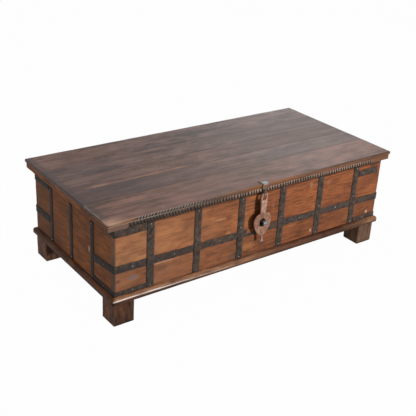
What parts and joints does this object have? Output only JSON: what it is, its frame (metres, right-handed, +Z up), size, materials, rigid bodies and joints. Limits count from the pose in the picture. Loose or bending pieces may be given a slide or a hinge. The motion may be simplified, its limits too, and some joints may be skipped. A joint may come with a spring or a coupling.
{
  "type": "trunk coffee table",
  "caption": "Low rectangular plank chest on square feet, bound with iron straps, with a hinged plank lid that serves as a table top and a leaf-shaped hasp over a padlock staple.",
  "frame": {"origin": "on the floor, at the middle of the rectangle that the four feet stand in", "axes": "+X along the length to the right, +Y from the hasp side to the hinge side, +Z up"},
  "size_m": [1.2, 0.5895, 0.373],
  "materials": {
    "front_wood": "old waxed teak, orange brown",
    "brown_wood": "old waxed wood, brown",
    "dark_wood": "old waxed wood, dark brown",
    "lid_wood": "worn wax, grey brown",
    "black_iron": "forged, dark patina",
    "rusty_iron": "forged, rust brown",
    "worn_iron": "forged, rubbed bright"
  },
  "bodies": {
    "chest": {"back_board": "brown_wood", "back_middle_strap_left": "black_iron", "back_middle_strap_right": "black_iron", "corner_strap_bottom_front_left": "black_iron", "corner_strap_bottom_front_right": "black_iron", "corner_strap_top_back_left": "black_iron", "corner_strap_top_back_right": "black_iron", "corner_strap_top_front_left": "black_iron", "corner_strap_top_front_right": "black_iron", "end_board_left": "brown_wood", "end_board_right": "brown_wood", "end_strap_left_1": "black_iron", "end_strap_left_2": "black_iron", "end_strap_left_3": "black_iron", "end_strap_right_1": "black_iron", "end_strap_right_2": "black_iron", "end_strap_right_3": "black_iron", "floor_bearer": "brown_wood", "floor_board_back": "brown_wood", "floor_board_front": "brown_wood", "floor_board_middle": "brown_wood", "foot_back_left": "dark_wood", "foot_back_right": "dark_wood", "foot_front_left": "dark_wood", "foot_front_right": "dark_wood", "front_board_lower": "front_wood", "front_board_upper": "front_wood", "front_middle_strap": "black_iron", "front_strap_1": "black_iron", "front_strap_2": "black_iron", "front_strap_3": "black_iron", "front_strap_4": "black_iron", "front_strap_5": "black_iron", "front_strap_6": "black_iron", "hinge_lower_leaf_left": "black_iron", "hinge_lower_leaf_right": "black_iron", "hinge_pins": "black_iron", "padlock_staple": "worn_iron", "plinth_back": "dark_wood", "plinth_front": "dark_wood", "plinth_left": "dark_wood", "plinth_right": "dark_wood", "strap_nails": "worn_iron"},
    "lid": {"carved_strip": "dark_wood", "hasp_hanger": "rusty_iron", "hinge_upper_leaf_left": "black_iron", "hinge_upper_leaf_right": "black_iron", "lid_batten_left": "brown_wood", "lid_batten_right": "brown_wood", "lid_plank_1": "lid_wood", "lid_plank_2": "lid_wood", "lid_plank_3": "lid_wood", "lid_plank_4": "lid_wood", "lid_plank_5": "lid_wood", "lid_rail_back": "dark_wood", "lid_rail_front": "dark_wood", "lid_rail_left": "dark_wood", "lid_rail_right": "dark_wood"},
    "hasp": {"hasp": "rusty_iron"}
  },
  "joints": [
    {"name": "lid_hinge", "type": "hinge", "parent": "chest", "child": "lid", "pos_m": [0, 0.27858, 0.33592], "axis": [-1, 0, 0], "range_deg": [0, 105]},
    {"name": "hasp_swing", "type": "hinge", "parent": "lid", "child": "hasp", "pos_m": [-0.006, -0.2865, 0.334], "axis": [-1, 0, 0], "range_deg": [0, 150]}
  ]
}
